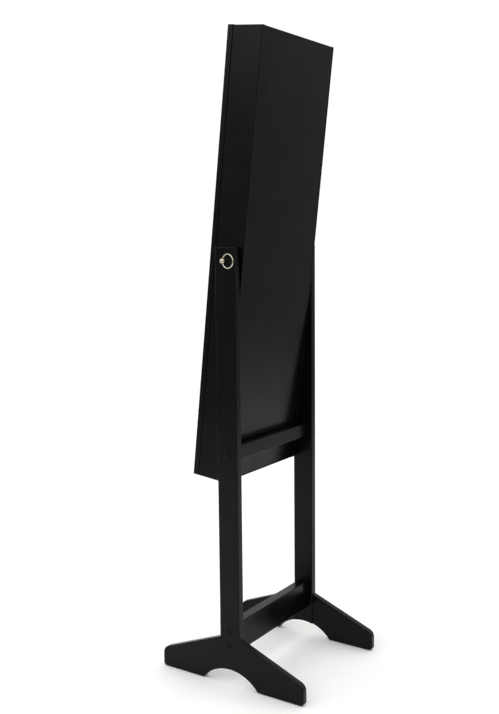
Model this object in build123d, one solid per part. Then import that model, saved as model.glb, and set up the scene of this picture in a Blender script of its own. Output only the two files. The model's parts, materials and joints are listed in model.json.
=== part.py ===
from build123d import *
import math
import os

# Cheval jewelry armoire: a shallow lockable cabinet with a full-length mirror door, hung between the two
# posts of a floor stand so that it can lean back.
# Millimetres and degrees. +Z up, +X to the viewer's right of the mirror, and the mirror faces -Y.
# Origin: on the floor, midway between the feet.

# ---------------------------------------------------------------------------------------------------
# Stand
# ---------------------------------------------------------------------------------------------------
stand_width = 350.0             # outer face of one post to outer face of the other
post_thickness = 19.0           # along X
post_depth = 53.0               # along Y
post_height = 1000.0            # floor to the top of a post
stand_arris = 2.5               # rounding of the long edges of posts, feet and bars

foot_length = 388.0             # front toe to rear toe
foot_thickness = 16.0           # along X, outer face flush with the post
foot_root_height = 112.0        # top of the foot where it meets the post
foot_toe_height = 46.0          # top of the foot where the toe's rounding starts
foot_toe_radius = 20.0
foot_heel_radius = 8.0
arch_half_span = 77.0           # arch between the two soles, along the floor
arch_rise = 38.0                # crown of the arch above the floor
lap_cheek = 8.0                 # thickness of the foot's cheek that laps over the post

pad_radius = 6.0                # felt pads under the soles
pad_thickness = 2.0
pad_recess = 1.0
pad_from_toe = 22.0
pad_from_arch = 14.0

crossbar_height = 32.0
crossbar_thickness = 19.0
crossbar_rise = 55.0            # underside of the bar above the cabinet's lower back edge
stop_pad_thickness = 4.0        # bumpers on the bar that the cabinet leans against
stop_pad_height = 16.0
stop_pad_length = 34.0
stop_pad_inset = 44.0           # bumper centre in from the post

stretcher_height = 70.0
stretcher_thickness = 24.0
stretcher_base = 76.0           # underside of the stretcher above the floor
stretcher_bolt_base = 94.0      # lower bolt above the floor
stretcher_bolt_pitch = 34.0

# ---------------------------------------------------------------------------------------------------
# Fasteners of the stand
# ---------------------------------------------------------------------------------------------------
bolt_radius = 3.0
bolt_reach = 40.0               # bolt length inside a bar
bolt_hole_clearance = 0.3
bolt_head_radius = 5.0
bolt_head_height = 6.0
counterbore_radius = 6.0
counterbore_depth = 6.5
cap_head_radius = 6.0           # domed heads of the crossbar bolts, proud of the post
cap_head_height = 3.4
hex_socket_radius = 2.9
hex_socket_depth = 2.0

barrel_nut_radius = 5.0
barrel_nut_length = 12.0
barrel_nut_inset = 30.0         # nut axis in from the end of its bar
thread_clearance = 0.05
nut_hole_clearance = 0.1

wood_screw_radius = 2.0
wood_screw_head_radius = 4.0
wood_screw_length = 15.0
lap_screw_height = 66.0
lap_screw_offset = 15.0         # either side of the post's centre line

# ---------------------------------------------------------------------------------------------------
# Tilting pivot
# ---------------------------------------------------------------------------------------------------
lean = 6.5                      # the cabinet leans back this much when it rests on its stop
pivot_drop = 30.0               # pivot axis below the top of the post
pivot_above_base = 500.45       # pivot axis above the cabinet's underside
pivot_from_back = 33.9          # pivot axis in front of the cabinet's rear edge
pivot_gap = 2.5                 # between a post and the cabinet's side
moving_gap = 0.3                # between pieces that move past each other

pivot_shaft_radius = 4.0
running_clearance = 0.05
sleeve_radius = 6.0
pivot_shoulder_radius = 5.0
pivot_ball_radius = 6.0
pivot_ball_offset = 8.0         # centre of the ball outside the post's face
insert_radius = 7.0
insert_length = 10.0
pivot_shaft_reach = 9.0         # shaft inside the cabinet's side
pivot_washer_radius = 12.0

ring_radius = 15.2              # centre line of the pull ring
ring_wire_radius = 1.35
ring_swing = 8.0                # the ring stands this far off the post's face
ring_hole_clearance = 0.25

# ---------------------------------------------------------------------------------------------------
# Cabinet box
# ---------------------------------------------------------------------------------------------------
cabinet_height = 995.0
box_depth = 74.0                # without the door
panel_thickness = 12.0
box_arris = 1.5
back_rim = 4.0                  # edge of the box that shows around the back panel
back_thickness = 3.0
back_recess = 0.5               # the back panel lies this far below the rim
fit_clearance = 0.3

back_lining_thickness = 1.5
side_lining_thickness = 1.0
side_lining_setback = 3.0

dowel_radius = 3.0
dowel_in_side = 8.0
dowel_in_panel = 16.0
dowel_setback = 18.0            # dowel axis in from the box's front and rear edges

# ---------------------------------------------------------------------------------------------------
# Fittings inside the cabinet
# ---------------------------------------------------------------------------------------------------
fitting_setback = 16.0          # front of the fittings behind the front edge of the box
shelf_thickness = 8.0
shelf_heights = (108.0, 280.0, 398.0)   # tops of the storage shelves above the cabinet's floor
lip_thickness = 5.0
lip_height = 22.0
divider_thickness = 6.0
divider_height = 80.0
divider_count = 2

ring_tray_height = 502.0        # underside of the ring tray above the cabinet's floor
ring_board_thickness = 6.0
roll_count = 7
roll_radius = 6.7
roll_gap = 0.2
ring_pad_thickness = 24.0

necklace_rail_drop = 28.0       # top of the hook rail below the cabinet's ceiling
necklace_rail_height = 22.0
necklace_rail_thickness = 12.0
necklace_hook_count = 10
necklace_hook_pitch = 26.0
necklace_hook_radius = 1.6
necklace_hook_reach = 22.0
necklace_hook_rise = 9.0

bracelet_rod_radius = 6.0
bracelet_rod_drop = 32.0        # rod axis below the shelf above it
rod_socket_radius = 10.0
rod_socket_length = 9.0
rod_socket_floor = 3.0

# ---------------------------------------------------------------------------------------------------
# Mirror door
# ---------------------------------------------------------------------------------------------------
door_thickness = 14.0
door_seam = 1.0                 # between the closed door and the box
door_overtop = 1.0              # the door stands this far above the box
frame_width = 34.0              # face width of the stiles and rails
frame_lip = 4.0                 # the frame in front of the glass
frame_rebate = 7.0              # the frame over the edge of the glass
mirror_thickness = 3.0
backing_thickness = 4.0
glass_clearance = 0.5
door_arris = 1.5

hinge_length = 50.0
hinge_top_inset = 105.0          # top hinge's centre below the cabinet's top
hinge_heights = (92.0, 430.0, cabinet_height - hinge_top_inset)    # centres above its underside
hinge_leaf_thickness = 1.0
hinge_leaf_width = 9.0
hinge_barrel_radius = 2.1
hinge_pin_radius = 1.1
hinge_pin_offset = 2.4          # pin axis outside the cabinet's side
hinge_knuckle_gap = 0.3
hinge_screw_pitch = 30.0
hinge_screw_radius = 1.2
hinge_screw_head_radius = 2.4
hinge_screw_length = 9.0

earring_rack_drop = 56.0        # top of the earring rack below the top of the door lining
earring_slat_count = 10
earring_slat_pitch = 26.0
earring_slat_height = 8.0
earring_slat_thickness = 2.5
earring_hole_radius = 1.1
earring_hole_count = 15
earring_hole_pitch = 14.0
upright_width = 8.0
upright_thickness = 6.0
upright_inset = 14.0            # upright in from the end of the slats

door_hook_count = 6
door_hook_pitch = 32.0
door_hook_rail_height = 16.0
door_hook_rail_drop = 60.0      # top of the hook rail below the earring rack
door_hook_radius = 1.2
door_hook_reach = 6.0
door_hook_rise = 6.0
door_fitting_margin = 20.0      # fittings in from the edges of the lining

catch_length = 44.0
catch_depth = 15.0
catch_height = 12.0
catch_inset = 38.0              # catch in from the inner face of the right side
catch_plate_thickness = 1.2

lock_height = 492.5             # lock axis above the cabinet's underside
lock_body_radius = 5.5
lock_flange_radius = 8.0
lock_flange_thickness = 1.5
lock_plug_radius = 4.0
lock_cam_length = 16.0          # cam tip from the lock's axis
lock_cam_half_width = 4.0
lock_cam_thickness = 1.5
keyway_width = 1.4
keyway_height = 5.2
keyway_depth = 8.0
strike_depth = 8.5              # pocket for the cam in the cabinet's side
strike_thickness = 0.8

# ---------------------------------------------------------------------------------------------------
# Sizes that follow from the ones above
# ---------------------------------------------------------------------------------------------------
stand_half = stand_width / 2
post_inner = stand_half - post_thickness
post_half_depth = post_depth / 2
foot_half = foot_length / 2
foot_inner = stand_half - foot_thickness
sole = pad_thickness - pad_recess               # underside of the feet
lap_face = stand_half - lap_cheek               # plane where post and cheek meet
arch_radius = (arch_half_span**2 + arch_rise**2) / (2 * arch_rise)

pivot_height = post_height - pivot_drop
cabinet_half = post_inner - pivot_gap
cabinet_base = -pivot_above_base
cabinet_top_level = cabinet_base + cabinet_height
box_rear = pivot_from_back
box_front = box_rear - box_depth
inner_half = cabinet_half - panel_thickness
inner_floor = cabinet_base + panel_thickness
inner_ceiling = cabinet_top_level - panel_thickness
back_panel_front = box_rear - back_recess - back_thickness
lining_front = back_panel_front - back_lining_thickness
lined_half = inner_half - side_lining_thickness
fitting_front = box_front + fitting_setback
rail_front = lining_front - necklace_rail_thickness

door_back = box_front - door_seam
door_front = door_back - door_thickness
door_top = cabinet_top_level + door_overtop
door_opening_half = cabinet_half - frame_width
glass_half = door_opening_half + frame_rebate - glass_clearance
glass_base = cabinet_base + frame_width - frame_rebate + glass_clearance
glass_top = door_top - frame_width + frame_rebate - glass_clearance
mirror_front = door_front + frame_lip
backing_front = mirror_front + mirror_thickness
door_lining_front = backing_front + backing_thickness

hinge_axis_x = -(cabinet_half + hinge_pin_offset)
hinge_axis_y = box_front - door_seam / 2
lock_x = door_opening_half + frame_rebate + lock_body_radius + glass_clearance
lock_w = cabinet_base + lock_height
lock_cam_front = door_back + 2.6

# The cabinet and its door are drawn about the pivot axis, upright, and then leaned back.
cabinet_place = Location((0, 0, pivot_height), (-lean, 0, 0))

lean_sine = math.sin(math.radians(lean))
lean_cosine = math.cos(math.radians(lean))
rear_edge_y = box_rear * lean_cosine + cabinet_base * lean_sine
rear_edge_z = pivot_height - box_rear * lean_sine + cabinet_base * lean_cosine
crossbar_base = rear_edge_z + crossbar_rise
crossbar_top = crossbar_base + crossbar_height
crossbar_middle = (crossbar_base + crossbar_top) / 2
stop_line_y = rear_edge_y + (crossbar_top - rear_edge_z) * math.tan(math.radians(lean))
crossbar_front = stop_line_y + moving_gap + stop_pad_thickness
crossbar_rear = crossbar_front + crossbar_thickness
crossbar_y = (crossbar_front + crossbar_rear) / 2
stretcher_top = stretcher_base + stretcher_height
stretcher_bolt_heights = (stretcher_bolt_base, stretcher_bolt_base + stretcher_bolt_pitch)


# ---------------------------------------------------------------------------------------------------
# Helpers
# ---------------------------------------------------------------------------------------------------
def block(x_range, y_range, z_range):
    """A rectangular piece between two limits on each axis."""
    centre = [(low + high) / 2 for low, high in (x_range, y_range, z_range)]
    size = [high - low for low, high in (x_range, y_range, z_range)]
    return Pos(*centre) * Box(*size)


def rod(radius, start, end):
    """A round bar from one point to another."""
    path = Vector(*end) - Vector(*start)
    middle = (Vector(*end) + Vector(*start)) * 0.5
    return Plane(origin=middle, z_dir=path) * Cylinder(radius, path.length)


def tube(outer, inner, start, end):
    """A round bar with a through hole."""
    return rod(outer, start, end) - rod(inner, start, end)


def edges_where(shape, x=None, y=None, z=None):
    """The edges whose middle has the given coordinates."""
    wanted = (x, y, z)

    def matches(edge):
        middle = edge.center(CenterOf.BOUNDING_BOX)
        found = (middle.X, middle.Y, middle.Z)
        return all(w is None or abs(w - f) < 0.01 for w, f in zip(wanted, found))

    return shape.edges().filter_by(matches)


def mirrored(shape):
    """The same piece on the other side of the object."""
    return mirror(shape, about=Plane.YZ)


def both_sides(shape):
    """A piece and its mirror image, as two solids."""
    return [shape, mirrored(shape)]


def spread(count, pitch):
    """Evenly spaced places about zero."""
    return [(index - (count - 1) / 2) * pitch for index in range(count)]


def countersunk_screw(head_radius, shank_radius, length, head, direction):
    """A flat-headed screw whose head lies flush at a point and whose shank runs along a direction."""
    head_height = head_radius - shank_radius
    screw = Pos(0, 0, head_height / 2) * Cone(head_radius, shank_radius, head_height)
    screw += Pos(0, 0, length / 2) * Cylinder(shank_radius, length)
    return Plane(origin=head, z_dir=direction) * screw


def hex_socket(face_point, direction):
    """The driving socket cut into a bolt's head from its outer face."""
    outline = RegularPolygon(hex_socket_radius, 6)
    return Plane(origin=face_point, z_dir=direction) * extrude(outline, hex_socket_depth)


def upturned_hook(radius, reach, rise, root, towards):
    """A peg that runs out from a rail and turns up, with a rounded tip. towards is +1 or -1 along Y."""
    x, y, z = root
    corner = (x, y + towards * reach, z)
    tip = (x, y + towards * reach, z + rise)
    hook = rod(radius, (x, y - towards * radius, z), corner)
    hook += Pos(*corner) * Sphere(radius)
    hook += rod(radius, corner, tip)
    hook += Pos(*tip) * Sphere(radius * 1.3)
    return hook


# ---------------------------------------------------------------------------------------------------
# Cutting shapes that two or more pieces share
# ---------------------------------------------------------------------------------------------------
def arch_cut():
    """The round arch under a foot, which also shapes the lower end of its post."""
    centre_z = arch_rise - arch_radius
    return rod(arch_radius, (0, 0, centre_z), (stand_half + post_thickness, 0, centre_z))


def through_bolt_cut(y, z):
    """The bolt's way through a post and into the end of a bar."""
    inner_end = post_inner - bolt_reach - 2 * bolt_hole_clearance
    return rod(bolt_radius + bolt_hole_clearance, (inner_end, y, z), (stand_half + 1, y, z))


def counterbore_cut(z):
    """The recess for a stretcher bolt's head."""
    return rod(counterbore_radius, (stand_half - counterbore_depth, 0, z), (stand_half + 1, 0, z))


def barrel_nut_cut(bar_front, bar_middle, z):
    """The blind hole for a barrel nut, bored from the front of a bar."""
    nut_x = post_inner - barrel_nut_inset
    radius = barrel_nut_radius + nut_hole_clearance
    far_end = bar_middle + barrel_nut_length / 2 + nut_hole_clearance
    return rod(radius, (nut_x, bar_front - 1, z), (nut_x, far_end, z))


def lap_screws_right():
    """The screws that hold the right foot's cheek to its post."""
    screws = []
    for y in (-lap_screw_offset, lap_screw_offset):
        head = (post_inner, y, lap_screw_height)
        screws.append(countersunk_screw(wood_screw_head_radius, wood_screw_radius,
                                        wood_screw_length, head, (1, 0, 0)))
    return screws


def dowels_right():
    """The dowels between the right side and the top and bottom panels."""
    dowels = []
    for w in (cabinet_base + panel_thickness / 2, cabinet_top_level - panel_thickness / 2):
        for y in (box_front + dowel_setback, box_rear - dowel_setback):
            start = (inner_half - dowel_in_panel, y, w)
            dowels.append(rod(dowel_radius, start, (inner_half + dowel_in_side, y, w)))
    return dowels


def hinge_screw_set(leaf_face, direction):
    """The screws of one leaf on every hinge. leaf_face is the leaf's free face along Y."""
    x = -cabinet_half + hinge_leaf_width / 2
    screws = []
    for height in hinge_heights:
        for offset in (-hinge_screw_pitch / 2, hinge_screw_pitch / 2):
            head = (x, leaf_face, cabinet_base + height + offset)
            screws.append(countersunk_screw(hinge_screw_head_radius, hinge_screw_radius,
                                            hinge_screw_length, head, (0, direction, 0)))
    return screws


def cam_pocket_cut():
    """The pocket in the right side that the lock's cam turns into."""
    reach = lock_cam_length + lock_cam_half_width
    y_range = (lock_cam_front - 1.2, lock_cam_front + lock_cam_thickness + 1.2)
    z_range = (lock_w - reach, lock_w + lock_cam_half_width + 3)
    return block((inner_half - 1, inner_half + strike_depth), y_range, z_range)


# ---------------------------------------------------------------------------------------------------
# Stand
# ---------------------------------------------------------------------------------------------------
def right_post():
    """An upright with rounded edges, rebated on its outer side for the foot's cheek."""
    post = block((post_inner, stand_half), (-post_half_depth, post_half_depth), (0, post_height))
    post = fillet(post.edges().filter_by(Axis.Z), stand_arris)
    post = fillet(post.faces().sort_by(Axis.Z)[-1].edges(), stand_arris * 0.6)
    post -= block((lap_face, stand_half + 1), (-post_depth, post_depth), (-1, foot_root_height))
    post -= arch_cut()
    post -= rod(sleeve_radius, (0, 0, pivot_height), (stand_half + 1, 0, pivot_height))
    post -= through_bolt_cut(crossbar_y, crossbar_middle)
    for z in stretcher_bolt_heights:
        post -= through_bolt_cut(0, z)
        post -= counterbore_cut(z)
    for screw in lap_screws_right():
        post -= screw
    return post


def right_foot():
    """A foot plate with sloping shoulders, round toes and an arch, notched over the post."""
    outline = Polyline(
        (-foot_half, sole),
        (-foot_half, foot_toe_height),
        (-post_half_depth, foot_root_height),
        (post_half_depth, foot_root_height),
        (foot_half, foot_toe_height),
        (foot_half, sole),
        close=True,
    )
    profile = Plane(origin=(foot_inner, 0, 0), x_dir=(0, 1, 0), z_dir=(1, 0, 0)) * make_face(outline)
    foot = extrude(profile, foot_thickness, dir=(1, 0, 0))
    for y in (-foot_half, foot_half):
        foot = fillet(edges_where(foot, y=y, z=foot_toe_height), foot_toe_radius)
        foot = fillet(edges_where(foot, y=y, z=sole), foot_heel_radius)
    shoulders = [edge for edge in foot.edges() if is_foot_arris(edge)]
    foot = fillet(shoulders, stand_arris)
    foot -= arch_cut()
    foot -= block((foot_inner - 1, lap_face), (-post_half_depth, post_half_depth), (-1, post_height))
    for z in stretcher_bolt_heights:
        foot -= through_bolt_cut(0, z)
        foot -= counterbore_cut(z)
    for screw in lap_screws_right():
        foot -= screw
    for pad in right_pads():
        foot -= pad
    return foot


def is_foot_arris(edge):
    """Whether an edge of the foot plate is a rounded one: those of the two faces, but not at the post."""
    box = edge.bounding_box()
    on_a_face = box.size.X < 0.01
    at_post = box.max.Y < post_half_depth + 0.01 and box.min.Y > -post_half_depth - 0.01
    on_floor = box.max.Z < sole + 0.01
    return on_a_face and not at_post and not on_floor


def right_pads():
    """The felt pads let into the right foot's soles."""
    x = foot_inner + foot_thickness / 2
    places = [foot_half - pad_from_toe, arch_half_span + pad_from_arch]
    ends = [side * place for side in (-1, 1) for place in places]
    return [rod(pad_radius, (x, y, 0), (x, y, pad_thickness)) for y in ends]


def bar_between_posts(y_range, z_range):
    """A bar that butts against both posts, with rounded long edges."""
    bar = block((-post_inner, post_inner), y_range, z_range)
    return fillet(bar.edges().filter_by(Axis.X), stand_arris * 0.6)


def upper_crossbar():
    """The bar that carries the cabinet's bumpers, bored for one bolt at each end."""
    bar = bar_between_posts((crossbar_front, crossbar_rear), (crossbar_base, crossbar_top))
    bolt_cut = through_bolt_cut(crossbar_y, crossbar_middle)
    nut_cut = barrel_nut_cut(crossbar_front, crossbar_y, crossbar_middle)
    return bar - both_sides(bolt_cut) - both_sides(nut_cut)


def lower_stretcher():
    """The deep bar that squares the stand, bored for two bolts at each end."""
    half = stretcher_thickness / 2
    bar = bar_between_posts((-half, half), (stretcher_base, stretcher_top))
    for z in stretcher_bolt_heights:
        bar -= both_sides(through_bolt_cut(0, z))
        bar -= both_sides(barrel_nut_cut(-half, 0, z))
    return bar


def crossbar_bolts():
    """Domed bolts whose heads stand on the posts' outer faces."""
    start = (post_inner - bolt_reach, crossbar_y, crossbar_middle)
    seat = (stand_half, crossbar_y, crossbar_middle)
    crown = (stand_half + cap_head_height, crossbar_y, crossbar_middle)
    head = rod(cap_head_radius, seat, crown)
    head = fillet(edges_where(head, x=crown[0]), cap_head_height * 0.8)
    bolt = rod(bolt_radius, start, seat) + head - hex_socket(crown, (-1, 0, 0))
    return both_sides(bolt)


def stretcher_bolts():
    """Cap-head bolts sunk in the posts."""
    bolts = []
    for z in stretcher_bolt_heights:
        seat = stand_half - counterbore_depth
        crown = (seat + bolt_head_height, 0, z)
        bolt = rod(bolt_radius, (post_inner - bolt_reach, 0, z), (seat, 0, z))
        bolt += rod(bolt_head_radius, (seat, 0, z), crown)
        bolt -= hex_socket(crown, (-1, 0, 0))
        bolts += both_sides(bolt)
    return bolts


def barrel_nuts():
    """The cross dowels that the stand's bolts screw into."""
    nut_x = post_inner - barrel_nut_inset
    half = barrel_nut_length / 2
    places = [(crossbar_y, crossbar_middle)] + [(0, z) for z in stretcher_bolt_heights]
    nuts = []
    for y, z in places:
        nut = rod(barrel_nut_radius, (nut_x, y - half, z), (nut_x, y + half, z))
        nut -= rod(bolt_radius + thread_clearance, (0, y, z), (stand_half, y, z))
        nuts += both_sides(nut)
    return nuts


def stop_bumpers():
    """The bumpers on the crossbar's front, at its top edge, that the cabinet leans against."""
    x = post_inner - stop_pad_inset
    top = crossbar_top - stand_arris * 0.6
    bumper = block((x - stop_pad_length / 2, x + stop_pad_length / 2),
                   (crossbar_front - stop_pad_thickness, crossbar_front),
                   (top - stop_pad_height, top))
    return both_sides(bumper)


# ---------------------------------------------------------------------------------------------------
# Tilting pivot
# ---------------------------------------------------------------------------------------------------
def pivot_sleeves():
    """The sleeves that line the pivot bores in the posts."""
    sleeve = tube(sleeve_radius, pivot_shaft_radius + running_clearance,
                  (post_inner, 0, pivot_height), (stand_half, 0, pivot_height))
    return both_sides(sleeve)


def pivot_washers():
    """The washers between the posts and the cabinet."""
    washer = tube(pivot_washer_radius, pivot_shaft_radius + moving_gap,
                  (cabinet_half + moving_gap, 0, pivot_height), (post_inner, 0, pivot_height))
    return both_sides(washer)


def pivot_inserts():
    """The threaded inserts in the cabinet's sides, drawn about the pivot axis."""
    insert = tube(insert_radius, pivot_shaft_radius + running_clearance,
                  (cabinet_half - insert_length, 0, 0), (cabinet_half, 0, 0))
    return both_sides(insert)


def right_pivot_bolt():
    """A pivot bolt with a ball head, cross-bored from top to bottom for its pull ring."""
    ball_x = stand_half + pivot_ball_offset
    shaft_end = cabinet_half - pivot_shaft_reach
    shoulder_start = stand_half + running_clearance
    bolt = rod(pivot_shaft_radius, (shaft_end, 0, pivot_height), (ball_x, 0, pivot_height))
    bolt += rod(pivot_shoulder_radius, (shoulder_start, 0, pivot_height),
                (ball_x - pivot_ball_radius / 2, 0, pivot_height))
    bolt += Pos(ball_x, 0, pivot_height) * Sphere(pivot_ball_radius)
    throat = ring_wire_radius + ring_hole_clearance
    mouth = throat + pivot_ball_radius**2 / (2 * ring_radius)
    half_bore = Pos(0, 0, pivot_ball_radius / 2) * Cone(throat, mouth, pivot_ball_radius)
    cross_bore = half_bore + mirror(half_bore, about=Plane.XY)
    return bolt - Pos(ball_x, 0, pivot_height) * cross_bore


def right_pull_ring():
    """The loose ring through the ball, swung a little off the post's face."""
    swing = math.radians(ring_swing)
    centre = (stand_half + pivot_ball_offset + ring_radius * math.sin(swing),
              ring_radius * math.cos(swing), pivot_height)
    normal = (math.cos(swing), -math.sin(swing), 0)
    return Plane(origin=centre, z_dir=normal) * Torus(ring_radius, ring_wire_radius)


def swung_to_front(right_ring):
    """The left post's ring: the right one taken half a turn about the object's upright axis."""
    return Rot(0, 0, 180) * right_ring


# ---------------------------------------------------------------------------------------------------
# Cabinet box
# ---------------------------------------------------------------------------------------------------
def plain_right_side():
    """A side panel with rounded outer edges and a rebate for the back panel."""
    side = block((inner_half, cabinet_half), (box_front, box_rear), (cabinet_base, cabinet_top_level))
    side = fillet(side.faces().sort_by(Axis.X)[-1].edges(), box_arris)
    rim = cabinet_half - back_rim
    side -= block((inner_half - 1, rim), (back_panel_front, box_rear + 1),
                  (cabinet_base + back_rim, cabinet_top_level - back_rim))
    side -= rod(insert_radius, (cabinet_half - insert_length, 0, 0), (cabinet_half + 1, 0, 0))
    for dowel in dowels_right():
        side -= dowel
    return side


def cabinet_right_side():
    """The lock side: a pocket behind its front edge takes the lock's cam."""
    side = plain_right_side() - cam_pocket_cut()
    return side - lock_strike()


def cabinet_left_side():
    """The hinge side: its front edge is cut for the hinge leaves and their screws."""
    side = mirrored(plain_right_side())
    for leaf in cabinet_leaf_blocks():
        side -= leaf
    for screw in hinge_screw_set(box_front, 1):
        side -= screw
    return side


def end_panel(outer_level, inner_level):
    """The top or the bottom panel, between the sides."""
    low, high = sorted((outer_level, inner_level))
    panel = block((-inner_half, inner_half), (box_front, box_rear), (low, high))
    panel = fillet(edges_where(panel, y=box_front, z=outer_level)
                   + edges_where(panel, y=box_rear, z=outer_level), box_arris)
    rim_level = outer_level + math.copysign(back_rim, inner_level - outer_level)
    low, high = sorted((rim_level, inner_level + (inner_level - outer_level)))
    panel -= block((-cabinet_half, cabinet_half), (back_panel_front, box_rear + 1), (low, high))
    for dowel in dowels_right():
        panel -= dowel
        panel -= mirrored(dowel)
    return panel


def cabinet_back_panel():
    """The thin back, let into the box's rebate."""
    half = cabinet_half - back_rim - fit_clearance
    return block((-half, half), (back_panel_front, back_panel_front + back_thickness),
                 (cabinet_base + back_rim + fit_clearance, cabinet_top_level - back_rim - fit_clearance))


def back_lining():
    """The lining board in front of the back panel."""
    return block((-inner_half, inner_half), (lining_front, back_panel_front), (inner_floor, inner_ceiling))


def side_linings():
    """The linings of the two sides."""
    lining = block((lined_half, inner_half), (box_front + side_lining_setback, lining_front),
                   (inner_floor, inner_ceiling))
    return both_sides(lining - cam_pocket_cut())


def corner_dowels():
    """The dowels at the four corners of the box."""
    dowels = []
    for dowel in dowels_right():
        dowels += both_sides(dowel)
    return dowels


# ---------------------------------------------------------------------------------------------------
# Fittings inside the cabinet
# ---------------------------------------------------------------------------------------------------
def shelf_levels():
    """The tops of the storage shelves about the pivot axis."""
    return [inner_floor + height for height in shelf_heights]


def board_across(low, high):
    """A board from one lined side to the other."""
    return block((-lined_half, lined_half), (fitting_front, lining_front), (low, high))


def storage_shelves():
    """The three storage shelves."""
    return [board_across(level - shelf_thickness, level) for level in shelf_levels()]


def shelf_lips():
    """The strips that keep things on the shelves and on the cabinet's floor."""
    levels = [inner_floor] + shelf_levels()
    return [block((-lined_half, lined_half), (fitting_front, fitting_front + lip_thickness),
                  (level, level + lip_height)) for level in levels]


def bottom_dividers():
    """The upright dividers between the bottom compartments."""
    pitch = 2 * lined_half / (divider_count + 1)
    return [block((x - divider_thickness / 2, x + divider_thickness / 2),
                  (fitting_front + lip_thickness, lining_front),
                  (inner_floor, inner_floor + divider_height)) for x in spread(divider_count, pitch)]


def ring_tray_levels():
    """The underside of the ring tray, the floor and ceiling of its rolls, and its top."""
    base = inner_floor + ring_tray_height
    floor = base + ring_board_thickness
    ceiling = floor + roll_count * (2 * roll_radius + roll_gap) + roll_gap
    return base, floor, ceiling, ceiling + ring_board_thickness


def ring_tray_boards():
    """The boards below and above the ring rolls."""
    base, floor, ceiling, top = ring_tray_levels()
    return [board_across(base, floor), board_across(ceiling, top)]


def ring_pad():
    """The firm pad behind the ring rolls."""
    base, floor, ceiling, top = ring_tray_levels()
    return block((-lined_half, lined_half), (lining_front - ring_pad_thickness, lining_front),
                 (floor, ceiling))


def ring_rolls():
    """The soft rolls that grip rings between them."""
    base, floor, ceiling, top = ring_tray_levels()
    y = lining_front - ring_pad_thickness - roll_radius - roll_gap
    rolls = []
    for index in range(roll_count):
        w = floor + roll_gap + roll_radius + index * (2 * roll_radius + roll_gap)
        rolls.append(rod(roll_radius, (-lined_half + roll_gap, y, w), (lined_half - roll_gap, y, w)))
    return rolls


def necklace_rail_top():
    """The top of the necklace rail about the pivot axis."""
    return inner_ceiling - necklace_rail_drop


def necklace_hooks():
    """The row of necklace hooks, which point to the front."""
    w = necklace_rail_top() - necklace_rail_height / 2
    hooks = []
    for x in spread(necklace_hook_count, necklace_hook_pitch):
        hooks.append(upturned_hook(necklace_hook_radius, necklace_hook_reach, necklace_hook_rise,
                                   (x, rail_front, w), -1))
    return hooks


def necklace_rail():
    """The rail that the necklace hooks are set in."""
    top = necklace_rail_top()
    rail = block((-lined_half, lined_half), (rail_front, lining_front), (top - necklace_rail_height, top))
    rail = fillet(edges_where(rail, y=rail_front).filter_by(Axis.X), box_arris)
    for hook in necklace_hooks():
        rail -= hook
    return rail


def bracelet_rod_centre():
    """Where the bracelet rod's axis crosses the cabinet's middle plane, along Y and up."""
    w = shelf_levels()[1] - shelf_thickness - bracelet_rod_drop
    return (fitting_front + lining_front) / 2, w


def bracelet_rod():
    """The rod that bracelets and watches hang on."""
    y, w = bracelet_rod_centre()
    end = lined_half - rod_socket_floor
    return rod(bracelet_rod_radius, (-end, y, w), (end, y, w))


def rod_sockets():
    """The cups that hold the bracelet rod's ends."""
    y, w = bracelet_rod_centre()
    start = lined_half - rod_socket_length
    socket = rod(rod_socket_radius, (start, y, w), (lined_half, y, w))
    socket -= rod(bracelet_rod_radius, (start - 1, y, w), (lined_half - rod_socket_floor, y, w))
    return both_sides(socket)


def catch_range():
    """Where the magnetic catch and its plate lie along X."""
    right = inner_half - catch_inset
    return right - catch_length, right


def catch_body():
    """The magnetic catch under the cabinet's ceiling."""
    front = door_back + catch_plate_thickness + moving_gap
    return block(catch_range(), (front, front + catch_depth), (inner_ceiling - catch_height, inner_ceiling))


def lock_strike():
    """The thin plate around the mouth of the cam's pocket, let into the side."""
    pocket = cam_pocket_cut().bounding_box()
    margin = 2.0
    plate = block((inner_half, inner_half + strike_thickness),
                  (box_front, pocket.max.Y + margin),
                  (pocket.min.Z - margin, pocket.max.Z + margin))
    return plate - cam_pocket_cut()


# ---------------------------------------------------------------------------------------------------
# Hinges
# ---------------------------------------------------------------------------------------------------
def leaf_block(low_y, height):
    """The flat of one hinge leaf."""
    middle = cabinet_base + height
    return block((-cabinet_half, -cabinet_half + hinge_leaf_width),
                 (low_y, low_y + hinge_leaf_thickness),
                 (middle - hinge_length / 2, middle + hinge_length / 2))


def cabinet_leaf_blocks():
    """The flats of the leaves let into the box's front edge."""
    return [leaf_block(box_front, height) for height in hinge_heights]


def door_leaf_blocks():
    """The flats of the leaves let into the door's back."""
    return [leaf_block(door_back - hinge_leaf_thickness, height) for height in hinge_heights]


def knuckle(low_y, low_w, high_w):
    """One barrel of a hinge with the strip that joins it to its leaf."""
    barrel = rod(hinge_barrel_radius, (hinge_axis_x, hinge_axis_y, low_w), (hinge_axis_x, hinge_axis_y, high_w))
    strip = block((hinge_axis_x, -cabinet_half + 1), (low_y, low_y + hinge_leaf_thickness), (low_w, high_w))
    bore = rod(hinge_pin_radius + running_clearance,
               (hinge_axis_x, hinge_axis_y, low_w - 1), (hinge_axis_x, hinge_axis_y, high_w + 1))
    return barrel + strip - bore


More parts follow.
